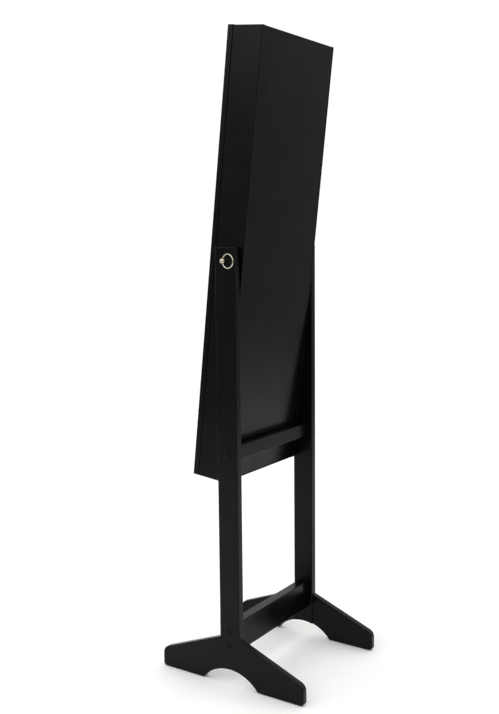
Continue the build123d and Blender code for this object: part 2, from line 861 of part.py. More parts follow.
def hinge_leaves(low_y, outer_knuckles, direction):
    """The leaves of one side of the hinges, with their knuckles and screw holes."""
    knuckle_length = hinge_length / 3
    leaves = []
    for height in hinge_heights:
        middle = cabinet_base + height
        leaf = leaf_block(low_y, height)
        if outer_knuckles:
            leaf += knuckle(low_y, middle - hinge_length / 2, middle - knuckle_length / 2)
            leaf += knuckle(low_y, middle + knuckle_length / 2, middle + hinge_length / 2)
        else:
            half = knuckle_length / 2 - hinge_knuckle_gap
            leaf += knuckle(low_y, middle - half, middle + half)
        leaf_face = low_y if direction > 0 else low_y + hinge_leaf_thickness
        for screw in hinge_screw_set(leaf_face, direction):
            leaf -= screw
        leaves.append(leaf)
    return leaves


def hinge_pins():
    """The pins through the hinge barrels."""
    pins = []
    for height in hinge_heights:
        low = (hinge_axis_x, hinge_axis_y, cabinet_base + height - hinge_length / 2)
        high = (hinge_axis_x, hinge_axis_y, cabinet_base + height + hinge_length / 2)
        pins.append(rod(hinge_pin_radius, low, high))
    return pins


# ---------------------------------------------------------------------------------------------------
# Mirror door
# ---------------------------------------------------------------------------------------------------
def glass_opening_cut():
    """The space behind the frame's lip that the glass, backing and lining lie in."""
    half = glass_half + glass_clearance
    return block((-half, half), (mirror_front, door_back + 1),
                 (glass_base - glass_clearance, glass_top + glass_clearance))


def glazing_sheet(front, thickness):
    """A sheet that fills the frame's rebate."""
    return block((-glass_half, glass_half), (front, front + thickness), (glass_base, glass_top))


def plain_right_stile():
    """A stile with rounded outer edges and a rebate for the glass."""
    stile = block((door_opening_half, cabinet_half), (door_front, door_back), (cabinet_base, door_top))
    stile = fillet(stile.faces().sort_by(Axis.X)[-1].edges(), door_arris)
    return stile - glass_opening_cut()


def door_right_stile():
    """The lock stile, bored for the lock."""
    bore = rod(lock_body_radius, (lock_x, door_front - 1, lock_w), (lock_x, door_back + 1, lock_w))
    return plain_right_stile() - bore


def door_left_stile():
    """The hinge stile, cut for the hinge leaves and their screws."""
    stile = mirrored(plain_right_stile())
    for leaf in door_leaf_blocks():
        stile -= leaf
    for screw in hinge_screw_set(door_back, -1):
        stile -= screw
    return stile


def door_rail(outer_level, inner_level):
    """The top or bottom rail, between the stiles."""
    low, high = sorted((outer_level, inner_level))
    rail = block((-door_opening_half, door_opening_half), (door_front, door_back), (low, high))
    rail = fillet(edges_where(rail, y=door_front, z=outer_level)
                  + edges_where(rail, y=door_back, z=outer_level), door_arris)
    return rail - glass_opening_cut()


def earring_rack_top():
    """The top of the earring rack about the pivot axis."""
    return glass_top - earring_rack_drop


def earring_slats():
    """The drilled slats that earrings hang in."""
    length = (earring_hole_count + 1) * earring_hole_pitch
    face = Rectangle(length, earring_slat_height)
    face -= GridLocations(earring_hole_pitch, 1, earring_hole_count, 1) * Circle(earring_hole_radius)
    front = door_back + upright_thickness
    slats = []
    for index in range(earring_slat_count):
        w = earring_rack_top() - earring_slat_height / 2 - index * earring_slat_pitch
        place = Plane(origin=(0, front, w), x_dir=(1, 0, 0), z_dir=(0, -1, 0))
        slats.append(extrude(place * face, earring_slat_thickness, dir=(0, 1, 0)))
    return slats


def earring_uprights():
    """The uprights that carry the earring slats."""
    x = (earring_hole_count + 1) * earring_hole_pitch / 2 - upright_inset
    height = (earring_slat_count - 1) * earring_slat_pitch + earring_slat_height
    upright = block((x - upright_width / 2, x + upright_width / 2),
                    (door_back, door_back + upright_thickness),
                    (earring_rack_top() - height, earring_rack_top()))
    return both_sides(upright)


def door_hook_level():
    """The top of the door's hook rail about the pivot axis."""
    rack_height = (earring_slat_count - 1) * earring_slat_pitch + earring_slat_height
    return earring_rack_top() - rack_height - door_hook_rail_drop


def door_hooks():
    """The hooks on the door's inside."""
    w = door_hook_level() - door_hook_rail_height / 2
    face = door_back + upright_thickness
    hooks = []
    for x in spread(door_hook_count, door_hook_pitch):
        hooks.append(upturned_hook(door_hook_radius, door_hook_reach, door_hook_rise, (x, face, w), 1))
    return hooks


def door_hook_rail():
    """The rail that the door's hooks are set in."""
    half = glass_half - door_fitting_margin
    face = door_back + upright_thickness
    level = door_hook_level()
    rail = block((-half, half), (door_back, face), (level - door_hook_rail_height, level))
    rail = fillet(edges_where(rail, y=face).filter_by(Axis.X), box_arris)
    for hook in door_hooks():
        rail -= hook
    return rail


def catch_plate():
    """The steel plate on the door that the magnetic catch holds."""
    return block(catch_range(), (door_back, door_back + catch_plate_thickness),
                 (inner_ceiling - catch_height, inner_ceiling - moving_gap))


def lock_housing():
    """The lock's sleeve, with a flange on the door's face."""
    rear = lock_cam_front - moving_gap
    housing = rod(lock_body_radius, (lock_x, door_front, lock_w), (lock_x, rear, lock_w))
    housing += rod(lock_flange_radius, (lock_x, door_front - lock_flange_thickness, lock_w),
                   (lock_x, door_front, lock_w))
    housing = fillet(edges_where(housing, y=door_front - lock_flange_thickness), lock_flange_thickness * 0.5)
    return housing - rod(lock_plug_radius + running_clearance, (lock_x, door_front - 3, lock_w),
                         (lock_x, door_back + 3, lock_w))


def lock_plug():
    """The turning core of the lock, with a keyway in its face."""
    front = door_front - lock_flange_thickness
    plug = rod(lock_plug_radius, (lock_x, front, lock_w), (lock_x, lock_cam_front, lock_w))
    return plug - block((lock_x - keyway_width / 2, lock_x + keyway_width / 2),
                        (front - 1, front + keyway_depth),
                        (lock_w - keyway_height / 2, lock_w + keyway_height / 2))


def lock_cam():
    """The cam on the plug's rear end, hanging down when the door is unlocked."""
    rear = lock_cam_front + lock_cam_thickness
    cam = rod(lock_cam_half_width, (lock_x, lock_cam_front, lock_w), (lock_x, rear, lock_w))
    return cam + block((lock_x - lock_cam_half_width, lock_x + lock_cam_half_width),
                       (lock_cam_front, rear), (lock_w - lock_cam_length, lock_w))


# ---------------------------------------------------------------------------------------------------
# All pieces
# ---------------------------------------------------------------------------------------------------
def stand_pieces():
    """Every piece of the stand and of its pivots, in place."""
    post = right_post()
    foot = right_foot()
    bolt = right_pivot_bolt()
    ring = right_pull_ring()
    return {
        "left_post": mirrored(post),
        "right_post": post,
        "left_foot": mirrored(foot),
        "right_foot": foot,
        "upper_crossbar": upper_crossbar(),
        "lower_stretcher": lower_stretcher(),
        "crossbar_bolts": crossbar_bolts(),
        "stretcher_bolts": stretcher_bolts(),
        "barrel_nuts": barrel_nuts(),
        "foot_lap_screws": [piece for screw in lap_screws_right() for piece in both_sides(screw)],
        "foot_pads": [piece for pad in right_pads() for piece in both_sides(pad)],
        "stop_bumpers": stop_bumpers(),
        "pivot_sleeves": pivot_sleeves(),
        "pivot_washers": pivot_washers(),
        "left_pivot_bolt": mirrored(bolt),
        "right_pivot_bolt": bolt,
        "left_pull_ring": swung_to_front(ring),
        "right_pull_ring": ring,
    }


def cabinet_pieces():
    """Every piece of the cabinet and of its door, upright about the pivot axis."""
    cabinet_screws = hinge_screw_set(box_front, 1)
    door_screws = hinge_screw_set(door_back, -1)
    return {
        "cabinet_left_side": cabinet_left_side(),
        "cabinet_right_side": cabinet_right_side(),
        "cabinet_top": end_panel(cabinet_top_level, inner_ceiling),
        "cabinet_bottom": end_panel(cabinet_base, inner_floor),
        "cabinet_back_panel": cabinet_back_panel(),
        "back_lining": back_lining(),
        "side_linings": side_linings(),
        "corner_dowels": corner_dowels(),
        "pivot_inserts": pivot_inserts(),
        "necklace_rail": necklace_rail(),
        "necklace_hooks": necklace_hooks(),
        "ring_tray_boards": ring_tray_boards(),
        "ring_pad": ring_pad(),
        "ring_rolls": ring_rolls(),
        "storage_shelves": storage_shelves(),
        "shelf_lips": shelf_lips(),
        "bottom_dividers": bottom_dividers(),
        "bracelet_rod": bracelet_rod(),
        "rod_sockets": rod_sockets(),
        "catch_body": catch_body(),
        "lock_strike": lock_strike(),
        "cabinet_hinge_leaves": hinge_leaves(box_front, True, 1),
        "cabinet_hinge_screws": cabinet_screws,
        "hinge_pins": hinge_pins(),
        "door_left_stile": door_left_stile(),
        "door_right_stile": door_right_stile(),
        "door_top_rail": door_rail(door_top, door_top - frame_width),
        "door_bottom_rail": door_rail(cabinet_base, cabinet_base + frame_width),
        "mirror_glass": glazing_sheet(mirror_front, mirror_thickness),
        "mirror_backing": glazing_sheet(backing_front, backing_thickness),
        "door_lining": glazing_sheet(door_lining_front, door_back - door_lining_front),
        "earring_slats": earring_slats(),
        "earring_uprights": earring_uprights(),
        "door_hook_rail": door_hook_rail(),
        "door_hooks": door_hooks(),
        "catch_plate": catch_plate(),
        "door_hinge_leaves": hinge_leaves(door_back - hinge_leaf_thickness, False, -1),
        "door_hinge_screws": door_screws,
        "lock_housing": lock_housing(),
        "lock_plug": lock_plug(),
        "lock_cam": lock_cam(),
    }


def export_piece(name, shape, place=Location()):
    """Write one node, keeping its solids apart."""
    shapes = shape if isinstance(shape, list) else [shape]
    solids = [place * solid for piece in shapes for solid in piece.solids()]
    node = solids[0] if len(solids) == 1 else Compound(children=solids)
    node.label = name
    export_step(node, os.path.join("parts", name + ".step"))


def main():
    """Build and write every piece."""
    os.makedirs("parts", exist_ok=True)
    for name, shape in stand_pieces().items():
        export_piece(name, shape)
    for name, shape in cabinet_pieces().items():
        export_piece(name, shape, cabinet_place)


if __name__ == "__main__":
    main()
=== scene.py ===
"""The looks of a cheval jewelry armoire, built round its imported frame.

Everything is in metres. The floor is Z = 0, the mirror door faces -Y and the plain back faces +Y.
"""
import json
import logging
import math
from dataclasses import dataclass, field
from enum import Enum

import bmesh
import bpy
from mathutils import Matrix, Vector, noise

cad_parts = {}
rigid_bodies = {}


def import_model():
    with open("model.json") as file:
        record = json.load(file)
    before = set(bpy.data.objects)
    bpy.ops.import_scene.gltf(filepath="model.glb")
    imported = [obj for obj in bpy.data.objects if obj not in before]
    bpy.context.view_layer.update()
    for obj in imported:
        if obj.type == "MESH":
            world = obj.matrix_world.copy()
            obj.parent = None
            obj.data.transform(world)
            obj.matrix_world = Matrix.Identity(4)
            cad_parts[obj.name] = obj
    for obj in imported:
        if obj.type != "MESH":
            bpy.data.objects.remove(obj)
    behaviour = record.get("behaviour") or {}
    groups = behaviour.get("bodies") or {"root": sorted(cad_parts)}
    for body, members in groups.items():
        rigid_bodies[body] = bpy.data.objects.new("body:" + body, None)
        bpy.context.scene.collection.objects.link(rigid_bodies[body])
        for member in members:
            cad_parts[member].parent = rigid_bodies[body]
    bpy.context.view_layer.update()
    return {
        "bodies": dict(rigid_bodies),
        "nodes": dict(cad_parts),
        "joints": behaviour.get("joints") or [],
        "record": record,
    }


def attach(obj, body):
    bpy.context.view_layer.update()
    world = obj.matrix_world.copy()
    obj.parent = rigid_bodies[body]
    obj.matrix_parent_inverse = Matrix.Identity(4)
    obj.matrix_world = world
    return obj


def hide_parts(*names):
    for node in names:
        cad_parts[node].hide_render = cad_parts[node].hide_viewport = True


Tree = bpy.types.NodeTree
Socket = bpy.types.NodeSocket
Shape = bmesh.types.BMesh
Piece = bpy.types.Object

LOG = logging.getLogger("armoire")
MM = 0.001

WELD = 0.01 * MM  # points nearer than this are one point
FLAT = math.radians(1.0)  # sides that meet at less than this are one side
CUT_REACH = 0.001 * MM  # points nearer a cutting plane than this are on it
SHARP = math.radians(30)  # edges that turn by more than this are rounded
SQUARE_ON = 0.99  # cosine above which a side counts as looking a given way
ROUNDING_SHARE = 0.45  # the most of a board's thickness that its rounding may take


class Axis(Enum):
    """The way a long piece or a grain runs."""

    ACROSS = (1.0, 0.0, 0.0)
    DEEP = (0.0, 1.0, 0.0)
    UP = (0.0, 0.0, 1.0)


class Sheen(Enum):
    """How a metal's last step of polish leaves it."""

    POLISHED = "polished"
    BRUSHED = "brushed"
    TUMBLED = "tumbled"


# ------------------------------------------------------------------------------
# Small helpers
# ------------------------------------------------------------------------------
def tint(code: str) -> tuple[float, float, float, float]:
    """Turn a display colour into the linear colour that shaders work in.

    Args:
        code: six hex digits, red first.

    Returns:
        Linear red, green, blue and an alpha of 1.
    """
    parts = [int(code[i : i + 2], 16) / 255 for i in (0, 2, 4)]
    linear = [p / 12.92 if p <= 0.04045 else ((p + 0.055) / 1.055) ** 2.4 for p in parts]
    return linear[0], linear[1], linear[2], 1.0


def per_mm(size_mm: float) -> float:
    """Return the texture scale that makes one cell this many millimetres wide."""
    return 1 / (size_mm * MM)


def add_node(
    tree: Tree,
    kind: str,
    values: dict[int | str, object] | None = None,
    links: dict[int | str, Socket] | None = None,
    **settings: object,
) -> bpy.types.Node:
    """Add a node with its settings, its input values and the links into it.

    Args:
        tree: the node tree to add to.
        kind: the node's type name.
        values: input socket to the value set on it.
        links: input socket to the output that feeds it.
        **settings: properties of the node itself.

    Returns:
        The new node.
    """
    node = tree.nodes.new(kind)
    for name, value in settings.items():
        setattr(node, name, value)
    for name, value in (values or {}).items():
        node.inputs[name].default_value = value
    for name, socket in (links or {}).items():
        tree.links.new(socket, node.inputs[name])
    return node


def extent(points: list[Vector]) -> tuple[Vector, Vector]:
    """Find the box round some points.

    Args:
        points: the points.

    Returns:
        Its lowest and its highest corner.
    """
    low = Vector(min(point[i] for point in points) for i in range(3))
    high = Vector(max(point[i] for point in points) for i in range(3))
    return low, high


# ------------------------------------------------------------------------------
# Finishes
# ------------------------------------------------------------------------------
@dataclass(frozen=True)
class Finish:
    """A surface: two close colours that drift into each other, a gloss that varies, and a relief.

    Sizes are in millimetres. A subclass changes the relief or the colour where its material
    needs it.
    """

    name: str
    body: str
    drift: str
    drift_mm: float = 60.0
    smooth: float = 0.3
    rough: float = 0.4
    smear_mm: float = 35.0
    grain_mm: float = 2.0
    grain_height_mm: float = 0.02
    metallic: float = 0.0
    sockets: tuple[tuple[str, float], ...] = ()
    drift_band: tuple[float, float] = (0.35, 0.65)
    smear_band: tuple[float, float] = (0.3, 0.7)

    def coordinates(self, tree: Tree) -> Socket:
        """Return the coordinates that the pattern is laid out on, in metres on the piece."""
        return add_node(tree, "ShaderNodeTexCoord").outputs["Object"]

    def relief(self, tree: Tree, place: Socket) -> Socket:
        """Draw the surface's height, from 0 to 1.

        Args:
            tree: the material's node tree.
            place: where on the piece, in metres.

        Returns:
            The height, of which 1 stands for grain_height_mm.
        """
        values = {"Scale": per_mm(self.grain_mm), "Detail": 2.0}
        return add_node(tree, "ShaderNodeTexNoise", values, {"Vector": place}).outputs[0]

    def blend_factor(self, tree: Tree, place: Socket) -> Socket:
        """Say how far the colour drifts from body to drift.

        Args:
            tree: the material's node tree.
            place: where on the piece, in metres.

        Returns:
            The share of the drift colour, from 0 to 1.
        """
        cloud = add_node(
            tree,
            "ShaderNodeTexNoise",
            {"Scale": per_mm(self.drift_mm), "Detail": 4.0},
            {"Vector": place},
        )
        low, high = self.drift_band
        share = add_node(
            tree,
            "ShaderNodeMapRange",
            {"From Min": low, "From Max": high},
            {"Value": cloud.outputs[0]},
        )
        return share.outputs[0]

    def build(self) -> bpy.types.Material:
        """Make the material.

        Returns:
            The material, ready to assign.
        """
        material = bpy.data.materials.new(self.name)
        material.use_nodes = True
        tree = material.node_tree
        tree.nodes.clear()
        place = self.coordinates(tree)
        colour = add_node(
            tree,
            "ShaderNodeMix",
            {6: tint(self.body), 7: tint(self.drift)},
            {0: self.blend_factor(tree, place)},
            data_type="RGBA",
        )
        smear = add_node(
            tree,
            "ShaderNodeTexNoise",
            {"Scale": per_mm(self.smear_mm), "Detail": 3.0},
            {"Vector": place},
        )
        low, high = self.smear_band
        gloss = add_node(
            tree,
            "ShaderNodeMapRange",
            {"From Min": low, "From Max": high, "To Min": self.smooth, "To Max": self.rough},
            {"Value": smear.outputs[0]},
        )
        bump = add_node(
            tree,
            "ShaderNodeBump",
            {"Distance": self.grain_height_mm * MM, "Strength": 1.0},
            {"Height": self.relief(tree, place)},
        )
        shader = add_node(
            tree,
            "ShaderNodeBsdfPrincipled",
            {"Metallic": self.metallic, **dict(self.sockets)},
            {
                "Base Color": colour.outputs[2],
                "Roughness": gloss.outputs[0],
                "Normal": bump.outputs[0],
            },
        )
        add_node(tree, "ShaderNodeOutputMaterial", links={"Surface": shader.outputs[0]})
        self.extras(tree, shader, bump)
        return material

    def extras(self, tree: Tree, shader: bpy.types.Node, bump: bpy.types.Node) -> None:
        """Add what only this kind of finish has; a plain finish has nothing more.

        Args:
            tree: the material's node tree.
            shader: its Principled node.
            bump: the node that turns its relief into a slope.
        """


@dataclass(frozen=True)
class SprayedLacquer(Finish):
    """Lacquer sprayed on fibreboard and rubbed down: faint orange peel, a few nibs of dust."""

    nib_mm: float = 9.0
    nib_share: float = 0.06
    nib_height: float = 1.5
    edge_mm: float = 1.6
    # The arrises get a lighter tone than the body: a painted highlight.
    edge_highlight_tone: str = "141416"
    edge_band: tuple[float, float] = (0.995, 0.9)
    edge_highlight: float = 0.55
    edge_samples: int = 4

    def relief(self, tree: Tree, place: Socket) -> Socket:
        """Draw orange peel with a dust nib here and there.

        Args:
            tree: the material's node tree.
            place: where on the piece, in metres.

        Returns:
            The height, of which 1 stands for grain_height_mm.
        """
        peel = add_node(
            tree,
            "ShaderNodeTexNoise",
            {"Scale": per_mm(self.grain_mm), "Detail": 1.0},
            {"Vector": place},
        )
        nibs = add_node(
            tree, "ShaderNodeTexVoronoi", {"Scale": per_mm(self.nib_mm)}, {"Vector": place}
        )
        spots = add_node(
            tree,
            "ShaderNodeMapRange",
            {"From Min": self.nib_share, "From Max": 0.0, "To Max": self.nib_height},
            {"Value": nibs.outputs["Distance"]},
        )
        both = add_node(
            tree,
            "ShaderNodeMath",
            links={0: peel.outputs[0], 1: spots.outputs[0]},
            operation="ADD",
        )
        return both.outputs[0]

    def extras(self, tree: Tree, shader: bpy.types.Node, bump: bpy.types.Node) -> None:
        """Turn the lacquer softly along the arrises and paint it a lighter tone there: a painted
        highlight.

        Args:
            tree: the material's node tree.
            shader: its Principled node.
            bump: the node that turns its relief into a slope.
        """
        arris = add_node(
            tree, "ShaderNodeBevel", {"Radius": self.edge_mm * MM}, samples=self.edge_samples
        )
        tree.links.new(arris.outputs[0], bump.inputs["Normal"])
        face = add_node(tree, "ShaderNodeNewGeometry")
        along = add_node(
            tree,
            "ShaderNodeVectorMath",
            links={0: arris.outputs[0], 1: face.outputs["Normal"]},
            operation="DOT_PRODUCT",
        )
        square, turned = self.edge_band
        # Painted highlight: the base colour turns lighter where the arris turns.
        highlight_share = add_node(
            tree,
            "ShaderNodeMapRange",
            {"From Min": square, "From Max": turned, "To Max": self.edge_highlight},
            {"Value": along.outputs["Value"]},
        )
        plain = shader.inputs["Base Color"].links[0].from_socket
        dressed = add_node(
            tree,
            "ShaderNodeMix",
            {7: tint(self.edge_highlight_tone)},
            {0: highlight_share.outputs[0], 6: plain},
            data_type="RGBA",
        )
        tree.links.new(dressed.outputs[2], shader.inputs["Base Color"])


@dataclass(frozen=True)
class Pile(Finish):
    """Short upright pile: velvet's brushed nap, or felt's matted wool."""

    nap_mm: float = 26.0
    nap_swirl: float = 0.8
    nap_height: float = 2.5

    def relief(self, tree: Tree, place: Socket) -> Socket:
        """Draw tufts on a slow swell of brushed nap.

        Args:
            tree: the material's node tree.
            place: where on the piece, in metres.

        Returns:
            The height, of which 1 stands for grain_height_mm.
        """
        tufts = add_node(
            tree, "ShaderNodeTexVoronoi", {"Scale": per_mm(self.grain_mm)}, {"Vector": place}
        )
        nap = add_node(
            tree,
            "ShaderNodeTexNoise",
            {"Scale": per_mm(self.nap_mm), "Detail": 2.0, "Distortion": self.nap_swirl},
            {"Vector": place},
        )
        swell = add_node(
            tree,
            "ShaderNodeMath",
            {1: self.nap_height},
            {0: nap.outputs[0], 2: tufts.outputs["Distance"]},
            operation="MULTIPLY_ADD",
        )
        return swell.outputs[0]


@dataclass(frozen=True)
class Plate(Finish):
    """Plated metal. The polish decides which way its fine scratches run."""

    polish: Sheen = Sheen.POLISHED
    stretch: float = 14.0

    def coordinates(self, tree: Tree) -> Socket:
        """Draw the coordinates out along the brushing, where there is any.

        Args:
            tree: the material's node tree.

        Returns:
            The coordinates that the pattern is laid out on.
        """
        place = super().coordinates(tree)
        if self.polish is not Sheen.BRUSHED:
            return place
        drawn = add_node(
            tree, "ShaderNodeMapping", {"Scale": (1.0, 1.0, 1 / self.stretch)}, {"Vector": place}
        )
        return drawn.outputs[0]


@dataclass(frozen=True)
class Timber(Finish):
    """Wood or pressed board: long grain with pores along one way."""

    runs: Axis = Axis.ACROSS
    ring_mm: float = 3.0
    ring_waver: float = 3.0
    squeeze: float = 0.08

    def coordinates(self, tree: Tree) -> Socket:
        """Squeeze the coordinates along the grain, so that each figure is long.

        Args:
            tree: the material's node tree.

        Returns:
            The coordinates that the pattern is laid out on.
        """
        place = super().coordinates(tree)
        scale = tuple(self.squeeze if part else 1.0 for part in self.runs.value)
        drawn = add_node(tree, "ShaderNodeMapping", {"Scale": scale}, {"Vector": place})
        return drawn.outputs[0]

    def blend_factor(self, tree: Tree, place: Socket) -> Socket:
        """Draw growth rings.

        Args:
            tree: the material's node tree.
            place: where on the piece, in metres.

        Returns:
            The share of the drift colour, from 0 to 1.
        """
        rings = add_node(
            tree,
            "ShaderNodeTexWave",
            {
                "Scale": per_mm(self.ring_mm) / math.tau,
                "Distortion": self.ring_waver,
                "Detail": 3.0,
            },
            {"Vector": place},
        )
        return rings.outputs["Fac"]


@dataclass(frozen=True)
class Silvering(Finish):
    """Silvered float glass: flat, with a haze of fingermarks that only just dulls it."""

    def relief(self, tree: Tree, place: Socket) -> Socket:
        """Draw the long, very shallow waves of float glass, from 0 to 1."""
        values = {"Scale": per_mm(self.grain_mm), "Detail": 0.0}
        return add_node(tree, "ShaderNodeTexNoise", values, {"Vector": place}).outputs[0]


# Satin nitrocellulose lacquer on fibreboard: near black, so all that shows is its soft gloss.
BLACK_LACQUER = SprayedLacquer(
    name="satin_black_lacquer",
    body="050506",
    drift="08080A",
    drift_mm=90,
    smooth=0.2,
    rough=0.3,
    smear_mm=55,
    grain_mm=2.4,  # real orange peel is 1 to 2 mm, drawn a little coarser so that it shows
    grain_height_mm=0.003,
    sockets=(("IOR", 1.5), ("Specular IOR Level", 0.13)),
)
# The same lacquer on the thin inner boards, with more flatting agent: it looks softer and greyer.
FITTING_LACQUER = SprayedLacquer(
    name="matt_black_lacquer",
    body="0A0A0B",
    drift="0F0F11",
    drift_mm=50,
    smooth=0.42,
    rough=0.55,
    smear_mm=30,
    grain_mm=2.5,
    grain_height_mm=0.01,
    sockets=(("IOR", 1.5), ("Specular IOR Level", 0.4)),
)
# Short-pile nylon velvet: black face on, with a grey bloom where the eye looks along the pile.
BLACK_VELVET = Pile(
    name="short_pile_velvet",
    body="0D0B0F",
    drift="1B181E",
    drift_mm=34,
    smooth=0.85,
    rough=1.0,
    grain_mm=1.1,  # the tufts are 0.4 mm apart, drawn coarser so that the nap shows
    grain_height_mm=0.22,
    sockets=(
        ("IOR", 1.45),
        ("Specular IOR Level", 0.2),
        ("Sheen Weight", 0.55),
        ("Sheen Roughness", 0.35),
    ),
)
# Dense wool felt: matted fibres, no gloss at all.
WOOL_FELT = Pile(
    name="grey_wool_felt",
    body="2A2A2B",
    drift="3B3A3A",
    drift_mm=6,
    smooth=0.95,
    rough=1.0,
    grain_mm=0.8,
    grain_height_mm=0.15,
    nap_mm=5,
    sockets=(
        ("IOR", 1.45),
        ("Specular IOR Level", 0.2),
        ("Sheen Weight", 0.3),
        ("Sheen Roughness", 0.6),
    ),
)
# Polished brass under a pale wash: small, very bright glints that run from straw to white.
PALE_BRASS = Plate(
    name="pale_polished_brass",
    body="D6D2BF",
    drift="B2AD94",
    drift_mm=5,
    smooth=0.07,
    rough=0.14,
    smear_mm=4,
    grain_mm=1.2,
    grain_height_mm=0.003,
    metallic=1.0,
)
# Satin nickel plate: a soft grey gleam along the brushing.
SATIN_NICKEL = Plate(
    name="satin_nickel_plate",
    body="B9B4AA",
    drift="A8A298",
    drift_mm=8,
    smooth=0.22,
    rough=0.34,
    smear_mm=6,
    grain_mm=0.35,
    grain_height_mm=0.004,
    metallic=1.0,
    polish=Sheen.BRUSHED,
)
# Bright zinc plate: cool, slightly cloudy steel with a barrel-tumbled surface.
ZINC_PLATE = Plate(
    name="bright_zinc_plate",
    body="B4B7BB",
    drift="9EA3A9",
    drift_mm=7,
    smooth=0.26,
    rough=0.42,
    smear_mm=5,
    grain_mm=0.9,
    grain_height_mm=0.008,
    metallic=1.0,
    polish=Sheen.TUMBLED,
)
# Black oxide on steel: dark, oily, with a low gleam.
BLACK_OXIDE = Plate(
    name="black_oxide_steel",
    body="26262A",
    drift="1B1B1E",
    drift_mm=6,
    smooth=0.35,
    rough=0.5,
    smear_mm=5,
    grain_mm=0.8,
    grain_height_mm=0.01,
    metallic=1.0,
    polish=Sheen.TUMBLED,
)
# Natural rubber bumpers: dull black that greys slightly with bloom.
SOFT_RUBBER = Finish(
    name="moulded_black_rubber",
    body="121213",
    drift="1D1D1E",
    drift_mm=7,
    smooth=0.6,
    rough=0.78,
    smear_mm=8,
    grain_mm=0.7,
    grain_height_mm=0.02,
    sockets=(("IOR", 1.52), ("Specular IOR Level", 0.3)),
)
# Moulded nylon: a fine spark-eroded texture from the tool.
BLACK_NYLON = Finish(
    name="moulded_black_nylon",
    body="17171A",
    drift="1E1E21",
    drift_mm=12,
    smooth=0.4,
    rough=0.52,
    smear_mm=10,
    grain_mm=0.6,
    grain_height_mm=0.015,
    sockets=(("IOR", 1.53),),
)
# Bare steamed beech: pinkish tan with short darker flecks.
BARE_BEECH = Timber(
    name="bare_beech",
    body="C79B6E",
    drift="A97C50",
    smooth=0.55,
    rough=0.7,
    smear_mm=10,
    grain_mm=0.7,
    grain_height_mm=0.03,
    sockets=(("IOR", 1.48),),
)
# Bare hardboard: dark brown pressed fibres.
HARDBOARD = Timber(
    name="bare_hardboard",
    body="6B4A2E",
    drift="573A22",
    smooth=0.6,
    rough=0.75,
    smear_mm=20,
    grain_mm=1.0,
    grain_height_mm=0.03,
    runs=Axis.UP,
    ring_mm=5.0,
    sockets=(("IOR", 1.48),),
)
# Silvered float glass: reflects almost everything, very slightly cool.
MIRROR_GLASS = Silvering(
    name="silvered_float_glass",
    body="E9EEEE",
    drift="E3E9E9",
    drift_mm=160,
    smooth=0.004,
    rough=0.018,
    smear_mm=70,
    grain_mm=240,
    grain_height_mm=0.006,
    metallic=1.0,
)

FINISHES = {
    "black_lacquer": BLACK_LACQUER,
    "fitting_lacquer": FITTING_LACQUER,
    "black_velvet": BLACK_VELVET,
    "velvet_wrap": BLACK_VELVET,
    "pale_brass": PALE_BRASS,
    "nickel_hardware": SATIN_NICKEL,
    "zinc_steel": ZINC_PLATE,
    "black_steel": BLACK_OXIDE,
    "felt": WOOL_FELT,
    "rubber": SOFT_RUBBER,
    "black_nylon": BLACK_NYLON,
    "beech": BARE_BEECH,
    "mirror": MIRROR_GLASS,
    "hardboard": HARDBOARD,
}


@dataclass
class Paintshop:
    """Makes each material once and puts it on pieces."""

    made: dict[str, bpy.types.Material] = field(default_factory=dict)

    def material(self, slot: str) -> bpy.types.Material:
        """Return the material of a slot, making it the first time.

        Args:
            slot: the slot's name in the record.

        Returns:
            Its material.
        """
        finish = FINISHES[slot]
        if finish.name not in self.made:
            self.made[finish.name] = finish.build()
        return self.made[finish.name]

    def dress(self, piece: Piece, slot: str) -> None:
        """Put a slot's material on every material slot of a piece.

        Args:
            piece: the object to dress.
            slot: the slot's name in the record.
        """
        material = self.material(slot)
        if not piece.material_slots:
            piece.data.materials.append(material)
        for held in piece.material_slots:
            held.material = material


